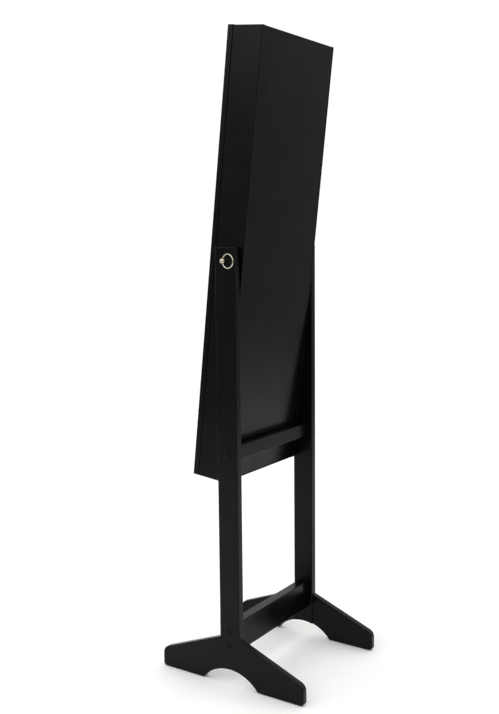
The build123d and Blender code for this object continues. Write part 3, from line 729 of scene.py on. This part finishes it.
# ------------------------------------------------------------------------------
# The workshop: what every sub-assembly needs to make its pieces
# ------------------------------------------------------------------------------
@dataclass
class Workshop:
    """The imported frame, the paintshop and the way to the leaning cabinet's place.

    Upright cabinet space has its origin on the pivot axis and the cabinet standing straight.
    """

    frame: dict
    paint: Paintshop = field(default_factory=Paintshop)

    def joint(self, name: str) -> dict:
        """Return a joint of the frame by name."""
        return next(j for j in self.frame["joints"] if j["name"] == name)

    def leaning(self) -> Matrix:
        """Lean upright cabinet space about the pivot axis.

        Returns:
            The matrix that takes upright cabinet space to the frame.
        """
        upright = Vector(self.joint("door_swing")["axis"])
        lean = math.atan2(-upright.y, -upright.z)
        pivot = Vector(self.joint("cabinet_tilt")["pos_m"])
        return Matrix.Translation(pivot) @ Matrix.Rotation(-lean, 4, "X")

    def measured(self, node: str, space: Matrix | None) -> Shape:
        """Take a CAD node's mesh to measure, welded.

        Args:
            node: the node's name.
            space: the matrix of the space to measure in; the frame's own when it is None.

        Returns:
            A mesh of its own, to be freed after measuring.
        """
        work = bmesh.new()
        work.from_mesh(self.frame["nodes"][node].data)
        bmesh.ops.remove_doubles(work, verts=work.verts, dist=WELD)
        if space is not None:
            bmesh.ops.transform(work, matrix=space.inverted(), verts=work.verts)
        return work

    def solids(self, node: str, space: Matrix | None = None) -> list[tuple[Vector, Vector]]:
        """Find the separate solids of a CAD node.

        Args:
            node: the node's name.
            space: the matrix of the space to measure in; the frame's own when left out.

        Returns:
            The lowest and highest corner of each solid, from the bottom up and left to right.
        """
        work = self.measured(node, space)
        seen = set()
        found = []
        for first in work.verts:
            if first in seen:
                continue
            seen.add(first)
            reached, front = [], [first]
            while front:
                vertex = front.pop()
                reached.append(vertex.co)
                fresh = {e.other_vert(vertex) for e in vertex.link_edges} - seen
                seen |= fresh
                front += fresh
            found.append(extent(reached))
        work.free()
        return sorted(found, key=lambda pair: (round(pair[0].z, 4), round(pair[0].x, 4)))

    def outlines(
        self, node: str, space: Matrix, inward: Vector
    ) -> list[tuple[list[Vector], Vector]]:
        """Find the outlines, notches and all, of a CAD node's sides that look inward.

        Args:
            node: the node's name.
            space: the matrix of the space to measure in.
            inward: the way the left-hand or only side looks; a right-hand one looks the other
                way.

        Returns:
            Each side's corners in order, and the way it looks.
        """
        work = self.measured(node, space)
        bmesh.ops.dissolve_limit(work, angle_limit=FLAT, verts=work.verts, edges=work.edges)
        found = []
        for face in work.faces:
            looks = -inward if inward.x * face.calc_center_median().x > 0 else inward
            if face.normal.dot(looks) > SQUARE_ON:
                found.append(([v.co.copy() for v in face.verts], looks))
        work.free()
        return found

    def dress_nodes(self, nodes: list[str]) -> None:
        """Give CAD nodes the finish of their material slots.

        Args:
            nodes: the nodes' names.
        """
        for node in nodes:
            piece = self.frame["nodes"][node]
            held = [slot.material.name for slot in piece.material_slots if slot.material]
            dressed = held[0].split(".")[0] if held else ""
            slot = dressed if dressed in FINISHES else "black_lacquer"
            self.paint.dress(piece, slot)
            LOG.info("node %s: %s", node, slot)

    def piece(self, name: str, shape: Shape, space: Matrix | None = None) -> Piece:
        """Make an object of a shape, at the origin and unturned.

        Args:
            name: the piece's name.
            shape: its mesh, freed here.
            space: the matrix that takes the shape into the frame, if it isn't there already.

        Returns:
            The new object.
        """
        if space is not None:
            bmesh.ops.transform(shape, matrix=space, verts=shape.verts)
        bmesh.ops.recalc_face_normals(shape, faces=shape.faces)
        for face in shape.faces:
            face.smooth = True
        mesh = bpy.data.meshes.new(name)
        shape.to_mesh(mesh)
        shape.free()
        made = bpy.data.objects.new(name, mesh)
        bpy.context.scene.collection.objects.link(made)
        return made

    def settle(self, made: Piece, body: str, slot: str, replaced: str) -> None:
        """Dress a new piece, put it on its body and hide the CAD node it stands for.

        Args:
            made: the new piece.
            body: the CAD body it moves with.
            slot: the record's material slot it takes its finish from.
            replaced: the CAD node it stands for.
        """
        self.paint.dress(made, slot)
        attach(made, body)
        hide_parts(replaced)
        LOG.info("piece %s on %s: %d faces", made.name, body, len(made.data.polygons))


def apply_modifiers(piece: Piece) -> None:
    """Bake a piece's modifiers into its mesh.

    Args:
        piece: the object whose evaluated mesh replaces its own.
    """
    graph = bpy.context.evaluated_depsgraph_get()
    graph.update()
    result = bpy.data.meshes.new_from_object(piece.evaluated_get(graph), depsgraph=graph)
    piece.modifiers.clear()
    old = piece.data
    result.name = old.name
    piece.data = result
    bpy.data.meshes.remove(old)


@dataclass
class Stuffing:
    """Swells a slack shape into a stuffed one by letting its cover take an inner pressure."""

    voxel_mm: float = 3.0
    pressure: float = 4.0
    reach_mm: float = 1.0
    steps: int = 20

    def swell(self, piece: Piece) -> None:
        """Remesh the piece, blow it up like a filled cover and keep every point within reach.

        Args:
            piece: the slack shape, changed in place.
        """
        remesh = piece.modifiers.new("even_cover", "REMESH")
        remesh.mode = "VOXEL"
        remesh.voxel_size = self.voxel_mm * MM
        apply_modifiers(piece)
        start = [v.co.copy() for v in piece.data.vertices]
        cover = piece.modifiers.new("stuffed_cover", "CLOTH")
        cover.settings.use_pressure = True
        cover.settings.uniform_pressure_force = self.pressure
        cover.settings.effector_weights.gravity = 0
        cover.point_cache.frame_start = 1
        cover.point_cache.frame_end = self.steps
        scene = bpy.context.scene
        for step in range(1, self.steps + 1):
            scene.frame_set(step)
        apply_modifiers(piece)
        scene.frame_set(1)
        for vertex, first in zip(piece.data.vertices, start):
            move = vertex.co - first
            if move.length > self.reach_mm * MM:
                vertex.co = first + move.normalized() * self.reach_mm * MM

    def finish(self, piece: Piece, fill: float) -> None:
        """Args:
            piece: the swollen shape.
            fill: how tightly it is stuffed, from 0 to 1; not used.
        """
        soften = piece.modifiers.new("soft_cover", "SUBSURF")
        soften.levels = soften.render_levels = 1
        apply_modifiers(piece)
        for face in piece.data.polygons:
            face.use_smooth = True


def boxed(low: Vector, high: Vector) -> Shape:
    """Start a shape as a box between two corners.

    Args:
        low: the lowest corner.
        high: the highest corner.

    Returns:
        The new shape.
    """
    shape = bmesh.new()
    size = high - low
    bmesh.ops.create_cube(shape, size=1.0)
    bmesh.ops.scale(shape, vec=size, verts=shape.verts)
    bmesh.ops.translate(shape, vec=(low + high) / 2, verts=shape.verts)
    return shape


def rounded(shape: Shape, radius: float, segments: int = 3) -> None:
    """Round every sharp edge of a shape.

    Args:
        shape: the shape, changed in place.
        radius: the rounding's size.
        segments: how many faces turn the corner.
    """
    sharp = [e for e in shape.edges if e.calc_face_angle(0.0) > SHARP]
    bmesh.ops.bevel(
        shape,
        geom=sharp,
        offset=radius,
        segments=segments,
        profile=0.5,
        affect="EDGES",
        material=-1,
        clamp_overlap=True,
    )


def sliced(shape: Shape, pitch: float, ways: tuple[Axis, ...]) -> None:
    """Cut a shape into even strips, so that it can be pushed about.

    Args:
        shape: the shape, changed in place.
        pitch: the strips' width.
        ways: the directions to step along.
    """
    low, high = extent([v.co for v in shape.verts])
    for way in ways:
        along = Vector(way.value)
        start, end = low.dot(along), high.dot(along)
        count = max(2, round((end - start) / pitch))
        for index in range(1, count):
            place = along * (start + (end - start) * index / count)
            everything = shape.verts[:] + shape.edges[:] + shape.faces[:]
            bmesh.ops.bisect_plane(
                shape, geom=everything, plane_co=place, plane_no=along, dist=CUT_REACH
            )


# ------------------------------------------------------------------------------
# Sub-assemblies
# ------------------------------------------------------------------------------
@dataclass
class Stand:
    """The two posts on their feet, the bars between them and what holds them together."""

    shop: Workshop
    body: str = "stand"
    pad_rounding: float = 0.25 * MM
    pad_segments: int = 40
    pad_ragged: float = 0.15 * MM
    pad_ragged_mm: float = 2.0
    woodwork: tuple[str, ...] = (
        "left_post",
        "right_post",
        "left_foot",
        "right_foot",
        "upper_crossbar",
        "lower_stretcher",
    )
    metalwork: tuple[str, ...] = (
        "crossbar_bolts",
        "stretcher_bolts",
        "barrel_nuts",
        "foot_lap_screws",
        "pivot_sleeves",
    )
    buffers: tuple[str, ...] = ("stop_bumpers", "pivot_washers")

    def felt_pads(self) -> None:
        """Cut the felt discs under the soles, with a soft, slightly ragged rim."""
        discs = bmesh.new()
        for low, high in self.shop.solids("foot_pads"):
            middle, radius = (low + high) / 2, (high.x - low.x) / 2
            made = bmesh.ops.create_cone(
                discs,
                cap_ends=True,
                segments=self.pad_segments,
                radius1=radius,
                radius2=radius,
                depth=high.z - low.z,
                matrix=Matrix.Translation(middle),
            )
            for vertex in made["verts"]:
                ragged = noise.noise(vertex.co * per_mm(self.pad_ragged_mm)) * self.pad_ragged
                out = (vertex.co - middle) * Vector((1, 1, 0))
                vertex.co += out.normalized() * (ragged - self.pad_ragged)
        rounded(discs, self.pad_rounding, segments=2)
        made = self.shop.piece("felt_discs", discs)
        self.shop.settle(made, self.body, "felt", "foot_pads")

    def build(self) -> None:
        """Dress the stand and lay its felt."""
        self.shop.dress_nodes([*self.woodwork, *self.metalwork, *self.buffers])
        self.felt_pads()


@dataclass
class PivotHardware:
    """The ball-headed bolts on both posts and the loose pull rings through them."""

    shop: Workshop
    metalwork: tuple[str, ...] = (
        "left_pivot_bolt",
        "right_pivot_bolt",
        "left_pull_ring",
        "right_pull_ring",
    )

    def build(self) -> None:
        """Dress the bolts and rings."""
        self.shop.dress_nodes(list(self.metalwork))


@dataclass
class CabinetBox:
    """The carcass: sides, top, bottom and back, with the velvet-covered boards that line it."""

    shop: Workshop
    body: str = "cabinet"
    lining_rounding: float = 0.5 * MM
    lining_pitch: float = 9.0 * MM
    pucker: float = 0.14 * MM
    pucker_mm: float = 28.0
    woodwork: tuple[str, ...] = (
        "cabinet_left_side",
        "cabinet_right_side",
        "cabinet_top",
        "cabinet_bottom",
        "cabinet_back_panel",
        "corner_dowels",
        "pivot_inserts",
    )

    def covered_board(self, name: str, node: str, inward: Vector, body: str) -> None:
        """Make a thin board covered in velvet, soft at its edges and not quite flat.

        Args:
            name: the piece's name.
            node: the CAD node it stands for.
            inward: the way its face points, in upright cabinet space.
            body: the CAD body it moves with.
        """
        space = self.shop.leaning()
        thin = min(min(high - low) for low, high in self.shop.solids(node, space))
        board = bmesh.new()
        for corners, looks in self.shop.outlines(node, space, inward):
            side = board.faces.new([board.verts.new(corner) for corner in corners])
            grown = bmesh.ops.extrude_face_region(board, geom=[side])["geom"]
            back = [part for part in grown if isinstance(part, bmesh.types.BMVert)]
            bmesh.ops.translate(board, vec=-looks * thin, verts=back)
        bmesh.ops.recalc_face_normals(board, faces=board.faces)
        rounded(board, min(self.lining_rounding, ROUNDING_SHARE * thin))
        ways = (Axis.UP, Axis.DEEP if inward.x else Axis.ACROSS)
        sliced(board, self.lining_pitch, ways)
        board.normal_update()
        for vertex in board.verts:
            looks = -inward if inward.x * vertex.co.x > 0 else inward
            shown = max(0.0, vertex.normal.dot(looks))
            pull = noise.noise(vertex.co * per_mm(self.pucker_mm)) - 0.5
            vertex.co += looks * self.pucker * pull * shown
        made = self.shop.piece(name, board, space)
        self.shop.settle(made, body, "black_velvet", node)

    def build(self) -> None:
        """Dress the carcass and line it."""
        self.shop.dress_nodes(list(self.woodwork))
        self.covered_board("back_velvet", "back_lining", Vector((0, -1, 0)), self.body)
        self.covered_board("side_velvet", "side_linings", Vector((1, 0, 0)), self.body)


@dataclass
class CabinetFittings:
    """What the cabinet holds: shelves, ring tray, rail, bracelet rod, catch and hinges."""

    shop: Workshop
    body: str = "cabinet"
    roll_slack: float = 0.7 * MM
    roll_crease_mm: float = 5.0
    roll_segments: int = 32
    pad_slack: float = 0.8 * MM
    pad_rounding: float = 3.0 * MM
    rod_wrap_slack: float = 0.5 * MM
    rod_crease_mm: float = 7.0
    crease: float = 0.28 * MM
    crease_everywhere: float = 0.35
    crease_end_share: float = 0.14
    crease_along: float = 60.0
    boards: tuple[str, ...] = (
        "necklace_rail",
        "ring_tray_boards",
        "storage_shelves",
        "shelf_lips",
        "bottom_dividers",
    )
    metalwork: tuple[str, ...] = (
        "necklace_hooks",
        "rod_sockets",
        "catch_body",
        "lock_strike",
        "cabinet_hinge_leaves",
        "cabinet_hinge_screws",
        "hinge_pins",
    )

    def bolster(self, low: Vector, high: Vector, slack: float, into: Shape) -> None:
        """Add one slack roll that runs across the cabinet.

        Args:
            low: the lowest corner of the room it fills.
            high: the highest corner.
            slack: how much smaller than its room it starts.
            into: the shape to add it to.
        """
        middle = (low + high) / 2
        radius = (high.z - low.z) / 2 - slack
        turn = Matrix.Rotation(math.radians(90), 4, "Y")
        bmesh.ops.create_cone(
            into,
            cap_ends=True,
            segments=self.roll_segments,
            radius1=radius,
            radius2=radius,
            depth=(high.x - low.x) - 2 * slack,
            matrix=Matrix.Translation(middle) @ turn,
        )

    def crumple(self, piece: Piece, depth: float, width_mm: float) -> None:
        """Draw small cross creases into a cover, deepest at its ends.

        Args:
            piece: the piece, changed in place.
            depth: how deep the creases go.
            width_mm: how wide a crease is.
        """
        half = max(abs(v.co.x) for v in piece.data.vertices)
        stretched = Vector((per_mm(width_mm), self.crease_along, self.crease_along))
        moves = []
        for vertex in piece.data.vertices:
            past = abs(vertex.co.x) / half - (1 - self.crease_end_share)
            end = max(0.0, past / self.crease_end_share)
            ripple = noise.noise(vertex.co * stretched)
            strength = (self.crease_everywhere + end) * (0.5 + 0.5 * ripple)
            moves.append(vertex.normal * -depth * strength)
        for vertex, move in zip(piece.data.vertices, moves):
            vertex.co += move

    def ring_rolls(self) -> None:
        """Stuff the seven velvet rolls that grip rings between them."""
        space = self.shop.leaning()
        slack = bmesh.new()
        for low, high in self.shop.solids("ring_rolls", space):
            self.bolster(low, high, self.roll_slack, slack)
        rolls = self.shop.piece("ring_roll_covers", slack, space)
        stuffing = Stuffing(voxel_mm=2.4, reach_mm=0.6)
        stuffing.swell(rolls)
        self.crumple(rolls, self.crease, self.roll_crease_mm)
        stuffing.finish(rolls, 0.85)
        self.shop.settle(rolls, self.body, "black_velvet", "ring_rolls")

    def ring_pad(self) -> None:
        """Stuff the firm pad behind the rolls."""
        space = self.shop.leaning()
        low, high = self.shop.solids("ring_pad", space)[0]
        inset = Vector((self.pad_slack,) * 3)
        slack = boxed(low + inset, high - inset)
        rounded(slack, self.pad_rounding)
        pad = self.shop.piece("ring_backing_pad", slack, space)
        stuffing = Stuffing(voxel_mm=4.0, reach_mm=0.7)
        stuffing.swell(pad)
        stuffing.finish(pad, 0.9)
        self.shop.settle(pad, self.body, "black_velvet", "ring_pad")

    def bracelet_roll(self) -> None:
        """Wrap the bracelet rod in lightly padded velvet."""
        space = self.shop.leaning()
        low, high = self.shop.solids("bracelet_rod", space)[0]
        slack = bmesh.new()
        self.bolster(low, high, self.rod_wrap_slack, slack)
        rod = self.shop.piece("bracelet_roll_cover", slack, space)
        stuffing = Stuffing(voxel_mm=2.2, reach_mm=0.4)
        stuffing.swell(rod)
        self.crumple(rod, self.crease, self.rod_crease_mm)
        stuffing.finish(rod, 0.95)
        self.shop.settle(rod, self.body, "velvet_wrap", "bracelet_rod")

    def build(self) -> None:
        """Dress the fittings and stuff the soft ones."""
        self.shop.dress_nodes([*self.boards, *self.metalwork])
        self.ring_rolls()
        self.ring_pad()
        self.bracelet_roll()


@dataclass
class Door:
    """The mirror door with its earring rack, hooks, lock and hinges."""

    shop: Workshop
    body: str = "door"
    frame_parts: tuple[str, ...] = (
        "door_left_stile",
        "door_right_stile",
        "door_top_rail",
        "door_bottom_rail",
        "mirror_glass",
        "mirror_backing",
    )
    rack: tuple[str, ...] = ("earring_slats", "earring_uprights", "door_hook_rail")
    metalwork: tuple[str, ...] = (
        "door_hooks",
        "catch_plate",
        "door_hinge_leaves",
        "door_hinge_screws",
        "lock_housing",
        "lock_plug",
        "lock_cam",
    )

    def build(self, box: CabinetBox) -> None:
        """Dress the door and line its back the way the cabinet is lined.

        Args:
            box: the cabinet, whose way of covering a board the door shares.
        """
        self.shop.dress_nodes([*self.frame_parts, *self.rack, *self.metalwork])
        box.covered_board("door_velvet", "door_lining", Vector((0, 1, 0)), self.body)


# ------------------------------------------------------------------------------
# The studio
# ------------------------------------------------------------------------------
@dataclass
class Studio:
    """A pale floor, soft lights, pale surroundings and the camera."""

    camera_place: tuple[float, float, float] = (1.86015, 1.18472, 1.02549)
    heading: float = math.radians(33.661)
    downward: float = math.radians(7.349)
    roll: float = math.radians(-0.586)
    lens_mm: float = 47.72
    sensor_mm: float = 36.0
    clip: tuple[float, float] = (0.05, 100.0)
    floor_half: float = 14.0
    floor_pool: tuple[float, float] = (1.5, 3.4)  # where the floor starts to fade and is gone
    floor_colour: str = "F4F4F2"
    floor_drift: str = "F0F0EE"
    floor_cloud: float = 1.3
    floor_glow: float = 0.04
    surround: tuple[float, float] = (0.38, 1.25)  # brightness at the horizon and overhead
    surround_rise: tuple[float, float] = (0.0, 0.4)
    backdrop: float = 1.05
    backdrop_edge: tuple[float, float] = (0.7, 0.93)

    def camera(self) -> None:
        """Place the camera and make it the scene's."""
        level = Vector((-math.cos(self.heading), -math.sin(self.heading), 0))
        forward = level * math.cos(self.downward) - Vector((0, 0, math.sin(self.downward)))
        level_right = forward.cross(Vector((0, 0, 1))).normalized()
        level_up = level_right.cross(forward)
        right = level_right * math.cos(self.roll) + level_up * math.sin(self.roll)
        up = right.cross(forward)
        data = bpy.data.cameras.new("studio_camera")
        data.lens = self.lens_mm
        data.sensor_width = self.sensor_mm
        data.clip_start, data.clip_end = self.clip
        holder = bpy.data.objects.new("studio_camera", data)
        bpy.context.scene.collection.objects.link(holder)
        turn = Matrix((right, up, -forward)).transposed()
        holder.matrix_world = Matrix.Translation(Vector(self.camera_place)) @ turn.to_4x4()
        bpy.context.scene.camera = holder

    def floor(self) -> None:
        """Lay the floor: matt pale paint that fades out far from the object."""
        sheet = bmesh.new()
        bmesh.ops.create_grid(sheet, x_segments=2, y_segments=2, size=self.floor_half)
        mesh = bpy.data.meshes.new("studio_floor")
        sheet.to_mesh(mesh)
        sheet.free()
        floor = bpy.data.objects.new("studio_floor", mesh)
        bpy.context.scene.collection.objects.link(floor)
        material = bpy.data.materials.new("matt_floor_paint")
        material.use_nodes = True
        tree = material.node_tree
        tree.nodes.clear()
        place = add_node(tree, "ShaderNodeTexCoord").outputs["Object"]
        cloud = add_node(
            tree, "ShaderNodeTexNoise", {"Scale": self.floor_cloud}, {"Vector": place}
        )
        shade = add_node(
            tree,
            "ShaderNodeMix",
            {6: tint(self.floor_colour), 7: tint(self.floor_drift)},
            {0: cloud.outputs[0]},
            data_type="RGBA",
        ).outputs[2]
        matt = add_node(tree, "ShaderNodeBsdfDiffuse", links={"Color": shade})
        lit = add_node(
            tree, "ShaderNodeEmission", {"Strength": self.floor_glow}, {"Color": shade}
        )
        paint = add_node(
            tree, "ShaderNodeAddShader", links={0: matt.outputs[0], 1: lit.outputs[0]}
        )
        clear = add_node(tree, "ShaderNodeBsdfTransparent")
        far = add_node(tree, "ShaderNodeVectorMath", links={0: place}, operation="LENGTH")
        full, gone = self.floor_pool
        fade = add_node(
            tree,
            "ShaderNodeMapRange",
            {"From Min": full, "From Max": gone},
            {"Value": far.outputs["Value"]},
            interpolation_type="SMOOTHSTEP",
        )
        both = add_node(
            tree,
            "ShaderNodeMixShader",
            links={0: fade.outputs[0], 1: paint.outputs[0], 2: clear.outputs[0]},
        )
        add_node(tree, "ShaderNodeOutputMaterial", links={"Surface": both.outputs[0]})
        mesh.materials.append(material)

    def surroundings(self) -> None:
        """Light the room: brighter overhead, brightest behind the object from the camera."""
        world = bpy.data.worlds.new("pale_studio")
        world.use_nodes = True
        bpy.context.scene.world = world
        tree = world.node_tree
        tree.nodes.clear()
        way = add_node(tree, "ShaderNodeTexCoord").outputs["Generated"]
        parts = add_node(tree, "ShaderNodeSeparateXYZ", links={0: way})
        low, high = self.surround_rise
        horizon, overhead = self.surround
        rise = add_node(
            tree,
            "ShaderNodeMapRange",
            {"From Min": low, "From Max": high, "To Min": horizon, "To Max": overhead},
            {"Value": parts.outputs["Z"]},
            interpolation_type="SMOOTHSTEP",
        )
        towards = Vector((-math.cos(self.heading), -math.sin(self.heading), 0))
        level = add_node(
            tree, "ShaderNodeVectorMath", {1: (1, 1, 0)}, {0: way}, operation="MULTIPLY"
        )
        flat = add_node(
            tree, "ShaderNodeVectorMath", links={0: level.outputs[0]}, operation="NORMALIZE"
        )
        facing = add_node(
            tree,
            "ShaderNodeVectorMath",
            {1: towards},
            {0: flat.outputs[0]},
            operation="DOT_PRODUCT",
        )
        outer, inner = self.backdrop_edge
        lobe = add_node(
            tree,
            "ShaderNodeMapRange",
            {"From Min": outer, "From Max": inner},
            {"Value": facing.outputs["Value"]},
            interpolation_type="SMOOTHSTEP",
        )
        strength = add_node(
            tree,
            "ShaderNodeMix",
            {3: self.backdrop},
            {0: lobe.outputs[0], 2: rise.outputs[0]},
            data_type="FLOAT",
        )
        glow = add_node(
            tree,
            "ShaderNodeBackground",
            {"Color": (1, 1, 1, 1)},
            {"Strength": strength.outputs[0]},
        )
        add_node(tree, "ShaderNodeOutputWorld", links={"Surface": glow.outputs[0]})

    def softbox(
        self, name: str, place: Vector, towards: Vector, size: float, watts: float
    ) -> None:
        """Hang one large soft light.

        Args:
            name: the light's name.
            place: where it hangs.
            towards: the point it faces.
            size: its side.
            watts: its power.
        """
        data = bpy.data.lights.new(name, "AREA")
        data.shape = "SQUARE"
        data.size = size
        data.energy = watts
        light = bpy.data.objects.new(name, data)
        bpy.context.scene.collection.objects.link(light)
        turn = (towards - place).to_track_quat("-Z", "Y")
        light.matrix_world = Matrix.Translation(place) @ turn.to_matrix().to_4x4()

    def build(self) -> None:
        """Set the studio up."""
        self.camera()
        self.floor()
        self.surroundings()
        low, middle = Vector((0, 0, 0.3)), Vector((0, 0, 0.9))
        self.softbox("overhead", Vector((-0.4, -0.2, 3.4)), low, size=3.0, watts=8.0)
        self.softbox("side_light", Vector((2.6, -1.0, 2.4)), middle, size=1.2, watts=8.0)
        bpy.context.scene.view_settings.view_transform = "Standard"
        LOG.info("studio ready")


def main() -> None:
    """Build the looks of every sub-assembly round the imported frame."""
    logging.basicConfig(level=logging.INFO, format="%(name)s: %(message)s")
    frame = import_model()
    shop = Workshop(frame)
    Studio().build()
    Stand(shop).build()
    PivotHardware(shop).build()
    box = CabinetBox(shop)
    box.build()
    CabinetFittings(shop).build()
    Door(shop).build(box)


if __name__ == "__main__":
    main()
